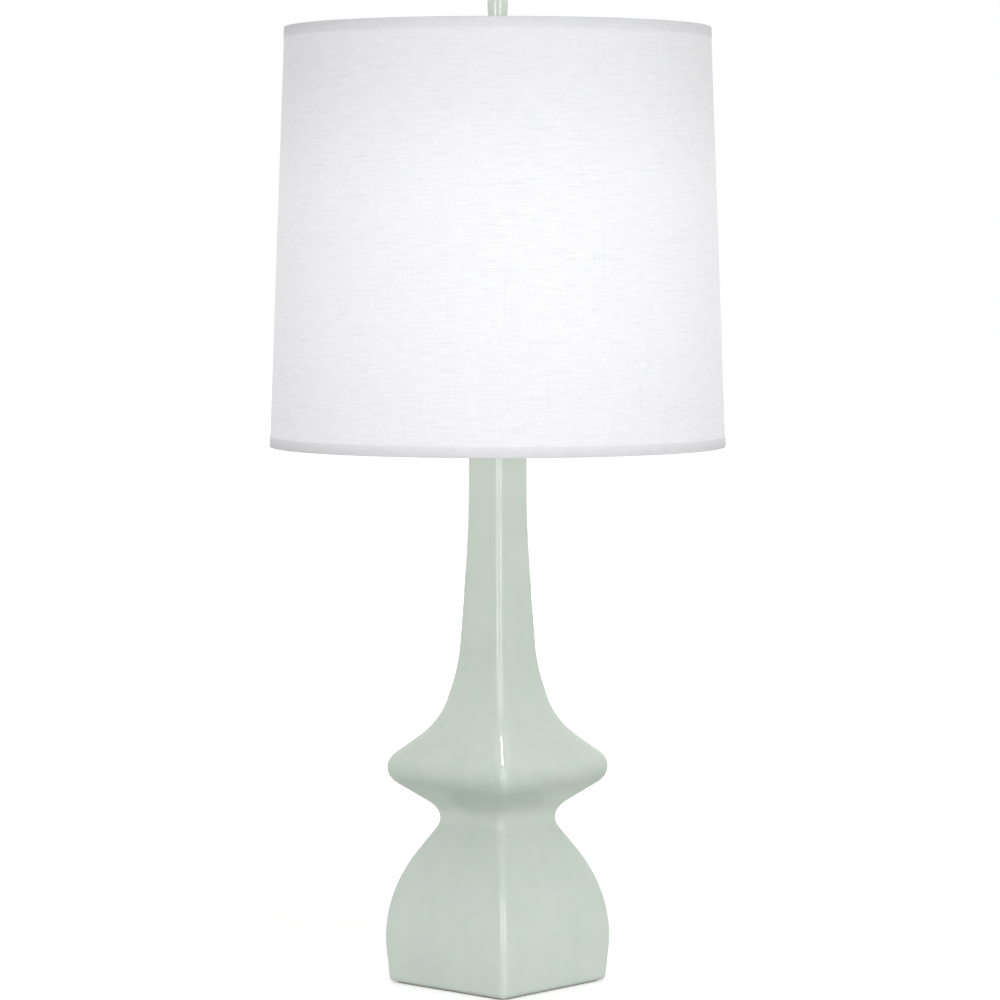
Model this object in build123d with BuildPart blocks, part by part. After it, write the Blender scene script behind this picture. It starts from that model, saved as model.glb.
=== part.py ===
from build123d import *
import os
from math import atan2, cos, hypot, radians, sin, tan

os.makedirs("parts", exist_ok=True)

# A table lamp, in millimetres. +Z is up, the origin is on the table under the middle of the foot, the body's
# sides are parallel to X and Y, and the lead enters at the back, on +Y.

# Clearances
turning_gap = 0.3       # between round faces that turn or slide on each other
seat_gap = 0.1          # between flat faces of pieces that turn on each other
fitted_gap = 0.15       # around a piece that is pushed, screwed or glued into place

# Ceramic body: half the width of its square section, and the height above the table, at each turn of its side
felt_thickness = 1.0
foot_half = 61.3
bulge_half = 66.4
bulge_height = 68.3
bulge_radius = 138.0
waist_half = 28.4
waist_height = 133.9
waist_radius = 17.4
flange_half = 70.2
flange_height = 169.0
flange_radius = 15.9
shoulder_half = 33.5
shoulder_height = 205.7
shoulder_radius = 62.0
throat_half = 23.3
throat_height = 249.0
throat_radius = 190.0
neck_half = 17.45
neck_height = 356.7
neck_radius = 1420.0
body_height = 444.0
corner_radius = 5.0
foot_edge_radius = 4.0
neck_edge_radius = 2.0
ceramic_wall = 6.0

# Foot: a pocket underneath that holds the rod's plate and nut, and the inlet of the lead
foot_rim = 9.0
pocket_depth = 18.0
pocket_corner_radius = 8.0
ledge_width = 12.0
ledge_thickness = 6.0
felt_inset = 4.0
felt_corner_radius = 6.0
plate_thickness = 2.0
washer_radius = 14.0
washer_thickness = 1.6
nut_across_flats = 14.3
nut_thickness = 4.5
nut_chamfer = 0.7
rod_radius = 5.1
rod_bore_radius = 3.3
rod_end = 1.5
inlet_height = 10.0
inlet_bore_radius = 3.2
inlet_barrel_wall = 1.4
inlet_flange_width = 1.8
inlet_flange_thickness = 2.2
inlet_flange_edge_radius = 0.7
inlet_seat_depth = 1.2
inlet_barrel_end = 1.0

# Neck cap and harp saddle
neck_cap_radius = 15.0
neck_cap_rim = 1.4
neck_cap_height = 4.0
neck_cap_crown_radius = 10.0
saddle_thickness = 1.8
saddle_width = 12.0
saddle_bend_radius = 4.0
ear_half_spacing = 27.0
ear_shoulder = 10.0
ear_width = 5.2
ear_length = 13.0

# Harp: a bent wire bow with a threaded stud at its top
harp_wire_radius = 2.0
harp_leg_straight = 36.0
harp_half_width = 56.0
harp_flare_height = 52.0
harp_top_flat = 2.0
harp_top_bend_run = 16.8
harp_crown_height = 82.0
harp_knee_radius = 30.0
harp_hip_radius = 60.0
harp_shoulder_radius = 100.0
harp_top_radius = 24.0
stud_collar_radius = 6.0
stud_collar_height = 9.0
stud_radius = 3.1
stud_grip = 13.0
stud_chamfer = 0.6
sleeve_wall = 0.9
sleeve_height = 12.5

# Socket with a turn knob
socket_hub_radius = 8.0
socket_hub_height = 7.0
socket_flare_height = 9.0
socket_rim_height = 6.5
socket_cap_wall = 0.8
socket_floor = 1.1
socket_flare_wall = 0.5
socket_hub_bend = 2.0
socket_rim_bend = 4.0
shell_radius = 16.2
shell_wall = 0.6
shell_above_core = 20.0
shell_bead = 0.7
insulator_wall = 0.7
insulator_reveal = 1.2
core_radius = 13.6
core_height = 24.0
screw_shell_wall = 0.5
screw_shell_height = 19.0
contact_radius = 4.0
contact_height = 1.8
contact_hole_radius = 6.0
terminal_flat = 9.0
terminal_head_radius = 2.6
terminal_head_height = 2.0
terminal_shank_radius = 1.4
terminal_shank_length = 5.0
terminal_height = 5.5
set_screw_radius = 1.5
knob_above_rim = 6.0
knob_shaft_radius = 1.8
knob_shaft_inner_end = 6.0
knob_stand_off = 3.0
knob_radius = 6.2
knob_length = 13.0
knob_taper = 3.5
knob_grip = 8.0
knob_flutes = 12
knob_flute_radius = 0.9
knob_edge_radius = 1.0

# Bulb
bulb_length = 134.0
bulb_radius = 33.5
bulb_neck_radius = 13.6
bulb_waist_radius = 15.6
bulb_waist_blend = 40.0
bulb_shoulder_angle = 40.0
bulb_glass_wall = 1.0
bulb_base_radius = 12.9
bulb_base_wall = 0.5
bulb_base_height = 19.5
bulb_base_bevel = 1.5
bulb_base_floor = 2.0
bulb_insulator_height = 4.0
bulb_insulator_tip_radius = 6.0
bulb_button_radius = 4.6
bulb_button_height = 1.5

# Shade
shade_height = 324.1
shade_bottom_radius = 177.3
shade_top_radius = 165.1
fabric_thickness = 0.8
liner_thickness = 0.8
trim_thickness = 0.5
top_trim_height = 7.8
bottom_trim_height = 8.0
trim_inner_leg = 8.0
ring_wire_radius = 1.5
spoke_count = 3
spoke_first_angle = 90.0
spoke_radius = 1.5
spoke_bend_radius = 7.0
spoke_seat = 4.0
hub_radius = 12.5
hub_thickness = 5.0
hub_below_rim = 13.5
spoke_slit_gap = 0.6

# Finial
lamp_height = 767.0
finial_height = 34.8
finial_top_radius = 8.1
finial_side_radius = 7.65
finial_side_drop = 11.0
finial_bottom_radius = 6.0
finial_edge_radius = 0.9
insert_radius = 4.6
insert_height = 13.5
insert_end_gap = 2.0

# Heights, worked out from the table up
foot_height = felt_thickness
plate_top = foot_height + pocket_depth
plate_bottom = plate_top - plate_thickness
washer_bottom = plate_bottom - washer_thickness
base_nut_bottom = washer_bottom - nut_thickness
rod_bottom = base_nut_bottom - rod_end
cavity_bottom = plate_top + ledge_thickness
lock_nut_bottom = body_height + neck_cap_height
saddle_bottom = lock_nut_bottom + nut_thickness
saddle_top = saddle_bottom + saddle_thickness
socket_flare_bottom = saddle_top + socket_hub_height
socket_flare_top = socket_flare_bottom + socket_flare_height
socket_rim_top = socket_flare_top + socket_rim_height
rod_top = socket_flare_bottom
rod_hole_radius = rod_radius + fitted_gap

# Heights, worked out from the finial's top down
finial_bottom = lamp_height - finial_height
hub_top = finial_bottom - seat_gap
hub_bottom = hub_top - hub_thickness
shade_top_height = hub_top + hub_below_rim
shade_bottom_height = shade_top_height - shade_height
stud_seat = hub_bottom - seat_gap
stud_top = hub_top + stud_grip
harp_top = stud_seat - stud_collar_height / 2


def export(piece, name):
    """Label a finished piece and write it to its own file."""
    piece.label = name
    export_step(piece, f"parts/{name}.step")


def ring(radius, wire_radius, height):
    """A ring of round wire, lying flat."""
    with BuildPart() as wire_ring:
        with BuildSketch(Plane.XZ):
            with Locations((radius, height)):
                Circle(wire_radius)
        revolve(axis=Axis.Z)
    return wire_ring.part


def hex_nut(bottom):
    """A hexagon nut on the rod, chamfered on both faces."""
    with BuildPart() as nut:
        with BuildSketch(Plane.XY.offset(bottom)):
            RegularPolygon(nut_across_flats / 2, 6, major_radius=False)
            Circle(rod_hole_radius, mode=Mode.SUBTRACT)
        extrude(amount=nut_thickness)
        chamfer(nut.edges().filter_by(GeomType.LINE).filter_by(Axis.Z, reverse=True), length=nut_chamfer)
    return nut.part


# Ceramic body. Its side is one outline of straight runs and tangent arcs, the same seen from the front and from
# the side, so the square body is the overlap of two extrusions of that outline.
body_turns = [
    (foot_half, foot_height),
    (bulge_half, bulge_height),
    (waist_half, waist_height),
    (flange_half, flange_height),
    (shoulder_half, shoulder_height),
    (throat_half, throat_height),
    (neck_half, neck_height),
    (neck_half, body_height),
]
body_radii = [bulge_radius, waist_radius, flange_radius, shoulder_radius, throat_radius, neck_radius]
body_reach = 2 * max(bulge_half, flange_half)
pocket_half = foot_half - foot_rim
ledge_half = pocket_half - ledge_width
foot_lean = (bulge_half - foot_half) / (bulge_height - foot_height)
inlet_wall = foot_half + foot_lean * (inlet_height - foot_height)
inlet_seat = inlet_wall - inlet_seat_depth
inlet_barrel_radius = inlet_bore_radius + inlet_barrel_wall
inlet_flange_radius = inlet_barrel_radius + inlet_flange_width

with BuildPart() as body_cavity:
    for side, mode in ((Plane.XZ, Mode.ADD), (Plane.YZ, Mode.INTERSECT)):
        with BuildSketch(side):
            with BuildLine():
                edge = FilletPolyline(*body_turns, radius=body_radii)
                Polyline(edge @ 1, (0, body_height), (0, foot_height), edge @ 0)
            make_face()
            mirror(about=Plane.YZ)
            offset(amount=-ceramic_wall)
            with Locations((0, cavity_bottom)):
                Rectangle(body_reach, body_height, align=(Align.CENTER, Align.MIN), mode=Mode.INTERSECT)
        extrude(amount=body_reach, both=True, mode=mode)

with BuildPart() as ceramic_body:
    for side, mode in ((Plane.XZ, Mode.ADD), (Plane.YZ, Mode.INTERSECT)):
        with BuildSketch(side):
            with BuildLine():
                edge = FilletPolyline(*body_turns, radius=body_radii)
                Polyline(edge @ 1, (0, body_height), (0, foot_height), edge @ 0)
            make_face()
            mirror(about=Plane.YZ)
        extrude(amount=body_reach, both=True, mode=mode)
    corner_edges = ceramic_body.edges().filter_by(
        lambda edge: min(abs(edge.center().X), abs(edge.center().Y)) > neck_half / 2
    )
    fillet(corner_edges, radius=corner_radius)
    fillet(ceramic_body.edges().group_by(Axis.Z)[0], radius=foot_edge_radius)
    fillet(ceramic_body.edges().group_by(Axis.Z)[-1], radius=neck_edge_radius)
    add(body_cavity.part, mode=Mode.SUBTRACT)
    with BuildSketch(Plane.XY.offset(foot_height)):
        RectangleRounded(2 * pocket_half, 2 * pocket_half, pocket_corner_radius)
    extrude(amount=pocket_depth, mode=Mode.SUBTRACT)
    with BuildSketch(Plane.XY.offset(plate_top)):
        RectangleRounded(2 * ledge_half, 2 * ledge_half, pocket_corner_radius)
    extrude(amount=ledge_thickness, mode=Mode.SUBTRACT)
    with BuildSketch(Plane.XY.offset(body_height)):
        Circle(rod_hole_radius)
    extrude(amount=-2 * ceramic_wall, mode=Mode.SUBTRACT)
    with BuildSketch(Plane((0, 0, inlet_height), x_dir=(1, 0, 0), z_dir=(0, 1, 0))):
        Circle(inlet_barrel_radius + fitted_gap)
    extrude(amount=body_reach, mode=Mode.SUBTRACT)
    with BuildSketch(Plane((0, inlet_seat, inlet_height), x_dir=(1, 0, 0), z_dir=(0, 1, 0))):
        Circle(inlet_flange_radius + fitted_gap)
    extrude(amount=body_reach, mode=Mode.SUBTRACT)
export(ceramic_body.part, "ceramic_body")

# Felt pad under the foot
with BuildPart() as felt_pad:
    with BuildSketch():
        felt_width = 2 * (foot_half - felt_inset)
        RectangleRounded(felt_width, felt_width, felt_corner_radius)
    extrude(amount=felt_thickness)
export(felt_pad.part, "felt_pad")

# Plate, washer and nut that clamp the rod in the foot's pocket
with BuildPart() as base_plate:
    with BuildSketch(Plane.XY.offset(plate_bottom)):
        plate_width = 2 * (pocket_half - turning_gap)
        RectangleRounded(plate_width, plate_width, pocket_corner_radius)
        Circle(rod_hole_radius, mode=Mode.SUBTRACT)
    extrude(amount=plate_thickness)
export(base_plate.part, "base_plate")

with BuildPart() as base_washer:
    with BuildSketch(Plane.XY.offset(washer_bottom)):
        Circle(washer_radius)
        Circle(rod_hole_radius, mode=Mode.SUBTRACT)
    extrude(amount=washer_thickness)
export(base_washer.part, "base_washer")

base_nut = hex_nut(base_nut_bottom)
export(base_nut, "base_nut")

# Rod: a threaded pipe from the foot to the socket, which the lead runs through
with BuildPart() as lamp_rod:
    with BuildSketch(Plane.XY.offset(rod_bottom)):
        Circle(rod_radius)
        Circle(rod_bore_radius, mode=Mode.SUBTRACT)
    extrude(amount=rod_top - rod_bottom)
export(lamp_rod.part, "lamp_rod")

# Bushing in the back of the foot, whose flange sits in a shallow seat in the glaze
with BuildPart() as cord_bushing:
    inlet_barrel_length = inlet_seat - pocket_half + inlet_barrel_end
    with BuildSketch(Plane((0, inlet_seat, inlet_height), x_dir=(1, 0, 0), z_dir=(0, 1, 0))):
        Circle(inlet_flange_radius)
    extrude(amount=inlet_flange_thickness)
    fillet(cord_bushing.edges().group_by(Axis.Y)[-1], radius=inlet_flange_edge_radius)
    with BuildSketch(Plane((0, inlet_seat, inlet_height), x_dir=(1, 0, 0), z_dir=(0, 1, 0))):
        Circle(inlet_barrel_radius)
    extrude(amount=-inlet_barrel_length)
    with BuildSketch(Plane((0, inlet_seat, inlet_height), x_dir=(1, 0, 0), z_dir=(0, 1, 0))):
        Circle(inlet_bore_radius)
    extrude(amount=inlet_barrel_length + inlet_flange_thickness, both=True, mode=Mode.SUBTRACT)
export(cord_bushing.part, "cord_bushing")

# Spun brass cap over the neck's hole, and the nut that holds it down
with BuildPart() as neck_cap:
    with BuildSketch(Plane.XZ):
        with BuildLine():
            cap_side = Polyline(
                (neck_cap_crown_radius, lock_nut_bottom),
                (rod_hole_radius, lock_nut_bottom),
                (rod_hole_radius, body_height),
                (neck_cap_radius, body_height),
                (neck_cap_radius, body_height + neck_cap_rim),
            )
            EllipticalCenterArc(
                (neck_cap_radius, lock_nut_bottom),
                neck_cap_radius - neck_cap_crown_radius,
                neck_cap_height - neck_cap_rim,
                start_angle=180,
                arc_size=90,
            )
        make_face()
    revolve(axis=Axis.Z)
export(neck_cap.part, "neck_cap")

lock_nut = hex_nut(lock_nut_bottom)
export(lock_nut, "lock_nut")

# Harp saddle: a strap bent up into two ears, which narrow where the sleeves slide over them
ear_shoulder_height = saddle_bottom + ear_shoulder
ear_top = ear_shoulder_height + ear_length
ear_inner = ear_half_spacing - saddle_thickness

with BuildPart() as harp_saddle:
    with BuildSketch(Plane.XZ):
        with BuildLine():
            outer = FilletPolyline(
                (-ear_half_spacing, ear_top),
                (-ear_half_spacing, saddle_bottom),
                (ear_half_spacing, saddle_bottom),
                (ear_half_spacing, ear_top),
                radius=saddle_bend_radius,
            )
            inner = FilletPolyline(
                (-ear_inner, ear_top),
                (-ear_inner, saddle_top),
                (ear_inner, saddle_top),
                (ear_inner, ear_top),
                radius=saddle_bend_radius - saddle_thickness,
            )
            Line(outer @ 0, inner @ 0)
            Line(outer @ 1, inner @ 1)
        make_face()
    extrude(amount=saddle_width / 2, both=True)
    with BuildSketch(Plane.YZ):
        for side, align in ((ear_width / 2, Align.MIN), (-ear_width / 2, Align.MAX)):
            with Locations((side, ear_shoulder_height)):
                Rectangle(saddle_width, ear_length, align=(align, Align.MIN))
    extrude(amount=2 * ear_half_spacing, both=True, mode=Mode.SUBTRACT)
    with BuildSketch(Plane.XY.offset(saddle_bottom)):
        Circle(rod_hole_radius)
    extrude(amount=saddle_thickness, mode=Mode.SUBTRACT)
export(harp_saddle.part, "harp_saddle")

# Harp: its straight legs stand beside the ears, then it bows out round the bulb and closes to a flat top
harp_leg = ear_half_spacing + fitted_gap + harp_wire_radius
harp_knee = ear_shoulder_height + harp_leg_straight
harp_top_half = stud_collar_radius + harp_top_flat + harp_top_bend_run
right_side = [
    (harp_top_half, harp_top),
    (harp_half_width, harp_top - harp_crown_height),
    (harp_half_width, harp_knee + harp_flare_height),
    (harp_leg, harp_knee),
    (harp_leg, ear_shoulder_height),
]
left_side = [(-x, z) for x, z in reversed(right_side)]
harp_side = harp_top - harp_crown_height - harp_knee - harp_flare_height
hip_turn = atan2(harp_half_width - harp_leg, harp_flare_height)
shoulder_turn = atan2(harp_half_width - harp_top_half, harp_crown_height)
bend_run = harp_hip_radius * tan(hip_turn / 2) + harp_shoulder_radius * tan(shoulder_turn / 2)
bend_share = min(1, (harp_side - harp_wire_radius) / bend_run)
right_bends = [harp_top_radius, bend_share * harp_shoulder_radius, bend_share * harp_hip_radius, harp_knee_radius]

with BuildPart() as harp:
    with BuildLine(Plane.XZ) as harp_path:
        FilletPolyline(*left_side, *right_side, radius=right_bends[::-1] + right_bends)
    with BuildSketch(Plane(harp_path.line @ 0, z_dir=harp_path.line % 0)):
        Circle(harp_wire_radius)
    sweep(path=harp_path.line)
export(harp.part, "harp")

# Stud: a collar cross-drilled for the harp's wire, with the thread that the shade and finial go on
with BuildPart() as harp_stud:
    with BuildSketch(Plane.XY.offset(stud_seat)):
        Circle(stud_collar_radius)
    extrude(amount=-stud_collar_height)
    with BuildSketch(Plane.XY.offset(stud_seat)):
        Circle(stud_radius)
    extrude(amount=stud_top - stud_seat)
    chamfer(harp_stud.edges().group_by(Axis.Z)[-1], length=stud_chamfer)
    with BuildSketch(Plane.YZ):
        with Locations((0, harp_top)):
            Circle(harp_wire_radius + fitted_gap)
    extrude(amount=2 * stud_collar_radius, both=True, mode=Mode.SUBTRACT)
export(harp_stud.part, "harp_stud")

# Sleeves that slide down over an ear and the harp's leg, and rest on the ear's shoulders
sleeve_centre = (ear_inner + harp_leg + harp_wire_radius) / 2
sleeve_bore_radius = hypot(harp_leg + harp_wire_radius - sleeve_centre, ear_width / 2) + turning_gap


def harp_sleeve(centre):
    """A plain tube with rounded outer edges."""
    with BuildPart() as sleeve:
        with BuildSketch(Plane.XY.offset(ear_shoulder_height)):
            with Locations((centre, 0)):
                Circle(sleeve_bore_radius + sleeve_wall)
        extrude(amount=sleeve_height)
        fillet(sleeve.edges(), radius=sleeve_wall / 2)
        with BuildSketch(Plane.XY.offset(ear_shoulder_height)):
            with Locations((centre, 0)):
                Circle(sleeve_bore_radius)
        extrude(amount=sleeve_height, mode=Mode.SUBTRACT)
    return sleeve.part


export(harp_sleeve(-sleeve_centre), "harp_sleeve_left")
export(harp_sleeve(sleeve_centre), "harp_sleeve_right")

# Socket cap: a spun cup on a hub that screws onto the rod, with a set screw in the hub
rim_inner = shell_radius + fitted_gap
rim_outer = rim_inner + socket_cap_wall
flare_start = (socket_hub_radius, socket_flare_bottom + socket_floor)
flare_end = (rim_inner, socket_flare_top + socket_flare_wall)
flare_slope = (flare_end[1] - flare_start[1]) / (flare_end[0] - flare_start[0])


def seat_on_flare(radius):
    """Height at which the edge of a cylinder comes to rest inside the cap's flare."""
    return flare_start[1] + flare_slope * (radius - flare_start[0]) + fitted_gap


with BuildPart() as socket_cap:
    with BuildSketch(Plane.XZ):
        with BuildLine():
            outer = FilletPolyline(
                (socket_hub_radius, saddle_top),
                (socket_hub_radius, socket_flare_bottom),
                (rim_outer, socket_flare_top),
                (rim_outer, socket_rim_top),
                radius=[socket_hub_bend, socket_rim_bend],
            )
            Polyline(
                outer @ 1,
                (rim_inner, socket_rim_top),
                flare_end,
                flare_start,
                (rod_hole_radius, flare_start[1]),
                (rod_hole_radius, saddle_top),
                outer @ 0,
            )
        make_face()
    revolve(axis=Axis.Z)
    set_screw_height = saddle_top + socket_hub_height / 2
    with BuildSketch(Plane((0, 0, set_screw_height), x_dir=(1, 0, 0), z_dir=(0, 1, 0))):
        Circle(set_screw_radius + fitted_gap)
    extrude(amount=2 * socket_hub_radius, mode=Mode.SUBTRACT)
export(socket_cap.part, "socket_cap")

with BuildPart() as socket_set_screw:
    with BuildSketch(Plane((0, rod_hole_radius, set_screw_height), x_dir=(1, 0, 0), z_dir=(0, 1, 0))):
        Circle(set_screw_radius)
    extrude(amount=socket_hub_radius - rod_hole_radius)
export(socket_set_screw.part, "socket_set_screw")

# Socket core: a moulded block that seats in the cap's flare, with flats for the terminal screws and a bore for
# the switch's shaft
core_bottom = seat_on_flare(core_radius)
core_top = core_bottom + core_height
knob_height = socket_rim_top + knob_above_rim
terminal_level = core_bottom + terminal_height
knob_plane = Plane((0, 0, knob_height), x_dir=(1, 0, 0), z_dir=(0, -1, 0))

with BuildPart() as socket_core:
    with BuildSketch(Plane.XY.offset(core_bottom)):
        Circle(core_radius)
    extrude(amount=core_height)
    with BuildSketch(Plane.XY.offset(core_bottom)):
        for side, align in ((terminal_flat, Align.MIN), (-terminal_flat, Align.MAX)):
            with Locations((side, 0)):
                Rectangle(core_radius, 2 * core_radius, align=(align, Align.CENTER))
    extrude(amount=2 * terminal_height, mode=Mode.SUBTRACT)
    with BuildSketch(Plane.YZ.offset(terminal_flat - terminal_shank_length - fitted_gap)):
        with Locations((0, terminal_level)):
            Circle(terminal_shank_radius + fitted_gap)
    extrude(amount=core_radius, mode=Mode.SUBTRACT)
    with BuildSketch(Plane.YZ.offset(terminal_shank_length + fitted_gap - terminal_flat)):
        with Locations((0, terminal_level)):
            Circle(terminal_shank_radius + fitted_gap)
    extrude(amount=-core_radius, mode=Mode.SUBTRACT)
    with BuildSketch(knob_plane.offset(knob_shaft_inner_end - turning_gap)):
        Circle(knob_shaft_radius + turning_gap)
    extrude(amount=core_radius, mode=Mode.SUBTRACT)
export(socket_core.part, "socket_core")

with BuildPart() as terminal_screws:
    for side in (-1, 1):
        terminal_plane = Plane((side * terminal_flat, 0, terminal_level), x_dir=(0, 1, 0), z_dir=(side, 0, 0))
        with BuildSketch(terminal_plane):
            Circle(terminal_head_radius)
        extrude(amount=terminal_head_height)
        with BuildSketch(terminal_plane):
            Circle(terminal_shank_radius)
        extrude(amount=-terminal_shank_length)
export(terminal_screws.part, "terminal_screws")

# Screw shell and spring contact on top of the core, for the bulb
with BuildPart() as screw_shell:
    screw_shell_radius = bulb_base_radius + turning_gap + screw_shell_wall
    with BuildSketch(Plane.XY.offset(core_top)):
        Circle(screw_shell_radius)
    extrude(amount=screw_shell_height)
    with BuildSketch(Plane.XY.offset(core_top + screw_shell_wall)):
        Circle(screw_shell_radius - screw_shell_wall)
    extrude(amount=screw_shell_height, mode=Mode.SUBTRACT)
    with BuildSketch(Plane.XY.offset(core_top)):
        Circle(contact_hole_radius)
    extrude(amount=screw_shell_wall, mode=Mode.SUBTRACT)
export(screw_shell.part, "screw_shell")

with BuildPart() as centre_contact:
    with BuildSketch(Plane.XY.offset(core_top)):
        Circle(contact_radius)
    extrude(amount=contact_height)
    chamfer(centre_contact.edges().group_by(Axis.Z)[-1], length=contact_height / 2)
export(centre_contact.part, "centre_contact")

# Socket shell and its card insulator, both seated in the cap and cut for the switch's shaft
shell_bottom = seat_on_flare(shell_radius)
shell_top = core_top + shell_above_core
insulator_radius = shell_radius - shell_wall - fitted_gap
shaft_hole_radius = knob_shaft_radius + 2 * turning_gap

with BuildPart() as socket_shell:
    with BuildSketch(Plane.XZ):
        with BuildLine():
            Polyline(
                (shell_radius, shell_top - 2 * shell_bead),
                (shell_radius, shell_bottom),
                (shell_radius - shell_wall, shell_bottom),
                (shell_radius - shell_wall, shell_top),
                (shell_radius, shell_top),
            )
            ThreePointArc(
                (shell_radius, shell_top),
                (shell_radius + shell_bead, shell_top - shell_bead),
                (shell_radius, shell_top - 2 * shell_bead),
            )
        make_face()
    revolve(axis=Axis.Z)
    with BuildSketch(knob_plane):
        Circle(shaft_hole_radius)
    extrude(amount=2 * shell_radius, mode=Mode.SUBTRACT)
export(socket_shell.part, "socket_shell")

with BuildPart() as socket_insulator:
    with BuildSketch(Plane.XY.offset(seat_on_flare(insulator_radius))):
        Circle(insulator_radius)
        Circle(insulator_radius - insulator_wall, mode=Mode.SUBTRACT)
    extrude(amount=shell_top + insulator_reveal - seat_on_flare(insulator_radius))
    with BuildSketch(knob_plane):
        Circle(shaft_hole_radius)
    extrude(amount=2 * shell_radius, mode=Mode.SUBTRACT)
export(socket_insulator.part, "socket_insulator")

# Turn knob: a tapered, fluted moulding pushed onto the switch's shaft
knob_face = shell_radius + shell_bead + knob_stand_off

with BuildPart() as knob_shaft:
    with BuildSketch(knob_plane.offset(knob_shaft_inner_end)):
        Circle(knob_shaft_radius)
    extrude(amount=knob_face + knob_grip - fitted_gap - knob_shaft_inner_end)
export(knob_shaft.part, "knob_shaft")

with BuildPart() as turn_knob:
    with BuildSketch(knob_plane.offset(knob_face)):
        Circle(knob_radius)
    extrude(amount=knob_length, taper=knob_taper)
    fillet(turn_knob.edges().group_by(Axis.Y)[0], radius=knob_edge_radius)
    with BuildSketch(knob_plane.offset(knob_face)):
        with PolarLocations(knob_radius, knob_flutes):
            Circle(knob_flute_radius)
    extrude(amount=knob_length, mode=Mode.SUBTRACT)
    with BuildSketch(knob_plane.offset(knob_face)):
        Circle(knob_shaft_radius + fitted_gap)
    extrude(amount=knob_grip, mode=Mode.SUBTRACT)
export(turn_knob.part, "turn_knob")

# Bulb, from its contact button up
bulb_bottom = core_top + contact_height + seat_gap
bulb_insulator_bottom = bulb_bottom + bulb_button_height
bulb_base_bottom = bulb_insulator_bottom + bulb_insulator_height
bulb_base_top = bulb_base_bottom + bulb_base_height
bulb_insulator_radius = bulb_base_radius - bulb_base_bevel
bulb_centre = bulb_bottom + bulb_length - bulb_radius

with BuildPart() as bulb_contact:
    with BuildSketch(Plane.XY.offset(bulb_bottom)):
        Circle(bulb_button_radius)
    extrude(amount=bulb_button_height)
    fillet(bulb_contact.edges().group_by(Axis.Z)[0], radius=bulb_button_height / 2)
export(bulb_contact.part, "bulb_contact")

with BuildPart() as bulb_insulator:
    with BuildSketch(Plane.XY.offset(bulb_insulator_bottom)):
        Circle(bulb_insulator_tip_radius)
    with BuildSketch(Plane.XY.offset(bulb_base_bottom)):
        Circle(bulb_insulator_radius)
    loft()
export(bulb_insulator.part, "bulb_insulator")

with BuildPart() as bulb_base:
    with BuildSketch(Plane.XZ):
        with BuildLine():
            Polyline(
                (0, bulb_base_bottom),
                (bulb_insulator_radius, bulb_base_bottom),
                (bulb_base_radius, bulb_base_bottom + bulb_base_bevel),
                (bulb_base_radius, bulb_base_top),
                (bulb_base_radius - bulb_base_wall, bulb_base_top),
                (bulb_base_radius - bulb_base_wall, bulb_base_bottom + bulb_base_floor),
                (0, bulb_base_bottom + bulb_base_floor),
                close=True,
            )
        make_face()
    revolve(axis=Axis.Z)
export(bulb_base.part, "bulb_base")

with BuildPart() as bulb_glass:
    with BuildSketch(Plane.XZ):
        with BuildLine():
            lean = radians(bulb_shoulder_angle)
            globe = CenterArc((0, bulb_centre), bulb_radius, -bulb_shoulder_angle, 90 + bulb_shoulder_angle)
            neck_run = (bulb_radius * cos(lean) - bulb_waist_radius) / sin(lean)
            bulb_waist_height = bulb_centre - bulb_radius * sin(lean) - neck_run * cos(lean)
            neck = FilletPolyline(
                globe @ 0,
                (bulb_waist_radius, bulb_waist_height),
                (bulb_neck_radius, bulb_base_top),
                radius=bulb_waist_blend,
            )
            Polyline(globe @ 1, (0, bulb_base_top), neck @ 1)
        make_face()
    revolve(axis=Axis.Z)
    offset(amount=-bulb_glass_wall, openings=bulb_glass.faces().sort_by(Axis.Z)[0])
export(bulb_glass.part, "bulb_glass")

# Shade: cloth glued to a stiff liner, each a slightly conical tube
liner_inset = fabric_thickness + fitted_gap
ring_inset = liner_inset + liner_thickness + fitted_gap + ring_wire_radius


def shade_radius(height):
    """Outer radius of the cloth at a height above the table."""
    rise = (height - shade_bottom_height) / shade_height
    return shade_bottom_radius + rise * (shade_top_radius - shade_bottom_radius)


def shade_wall(inset, thickness):
    """A conical tube as tall as the shade, set in from the cloth's outside."""
    bottom = shade_bottom_radius - inset
    top = shade_top_radius - inset
    with BuildPart() as wall:
        with BuildSketch(Plane.XZ):
            with BuildLine():
                Polyline(
                    (bottom, shade_bottom_height),
                    (top, shade_top_height),
                    (top - thickness, shade_top_height),
                    (bottom - thickness, shade_bottom_height),
                    close=True,
                )
            make_face()
        revolve(axis=Axis.Z)
    return wall.part


export(shade_wall(0, fabric_thickness), "shade_fabric")
export(shade_wall(liner_inset, liner_thickness), "shade_liner")

# Wire rings in the shade's two edges
top_ring_height = shade_top_height - ring_wire_radius - fitted_gap
top_ring_radius = shade_radius(top_ring_height) - ring_inset
bottom_ring_height = shade_bottom_height + ring_wire_radius + fitted_gap
bottom_ring_radius = shade_radius(bottom_ring_height) - ring_inset
export(ring(top_ring_radius, ring_wire_radius, top_ring_height), "shade_top_ring")
export(ring(bottom_ring_radius, ring_wire_radius, bottom_ring_height), "shade_bottom_ring")


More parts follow.
